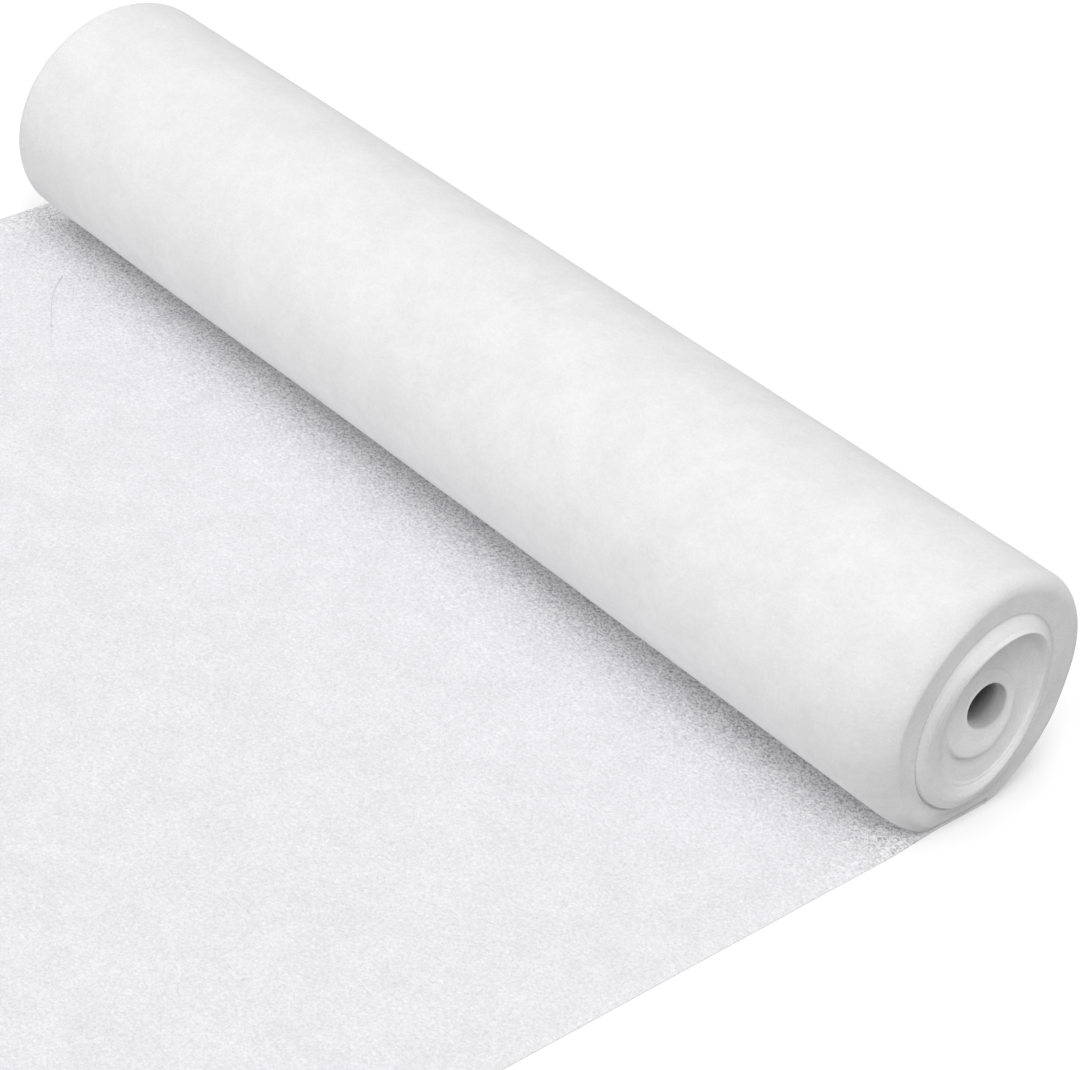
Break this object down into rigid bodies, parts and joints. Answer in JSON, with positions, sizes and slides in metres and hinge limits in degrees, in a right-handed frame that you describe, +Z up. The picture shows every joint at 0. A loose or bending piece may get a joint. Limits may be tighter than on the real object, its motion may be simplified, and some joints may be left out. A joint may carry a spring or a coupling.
{
  "type": "roll of upholstery foam",
  "caption": "Soft white upholstery foam sheet wound into a thick roll, open through the middle, standing on its own flat loose end.",
  "frame": {"origin": "on the supporting surface, under the middle of the wound roll", "axes": "+X along the roll towards the end shown in the picture, -Y the way the loose end is laid out, +Z up"},
  "size_m": [1.044, 0.8568, 0.2028],
  "materials": {
    "wound_sheet": "matt soft white foam sheet, wound",
    "laid_sheet": "matt cloudy white foam sheet, laid flat"
  },
  "bodies": {
    "root": {"wound_roll": "wound_sheet", "loose_end": "laid_sheet"}
  },
  "joints": []
}
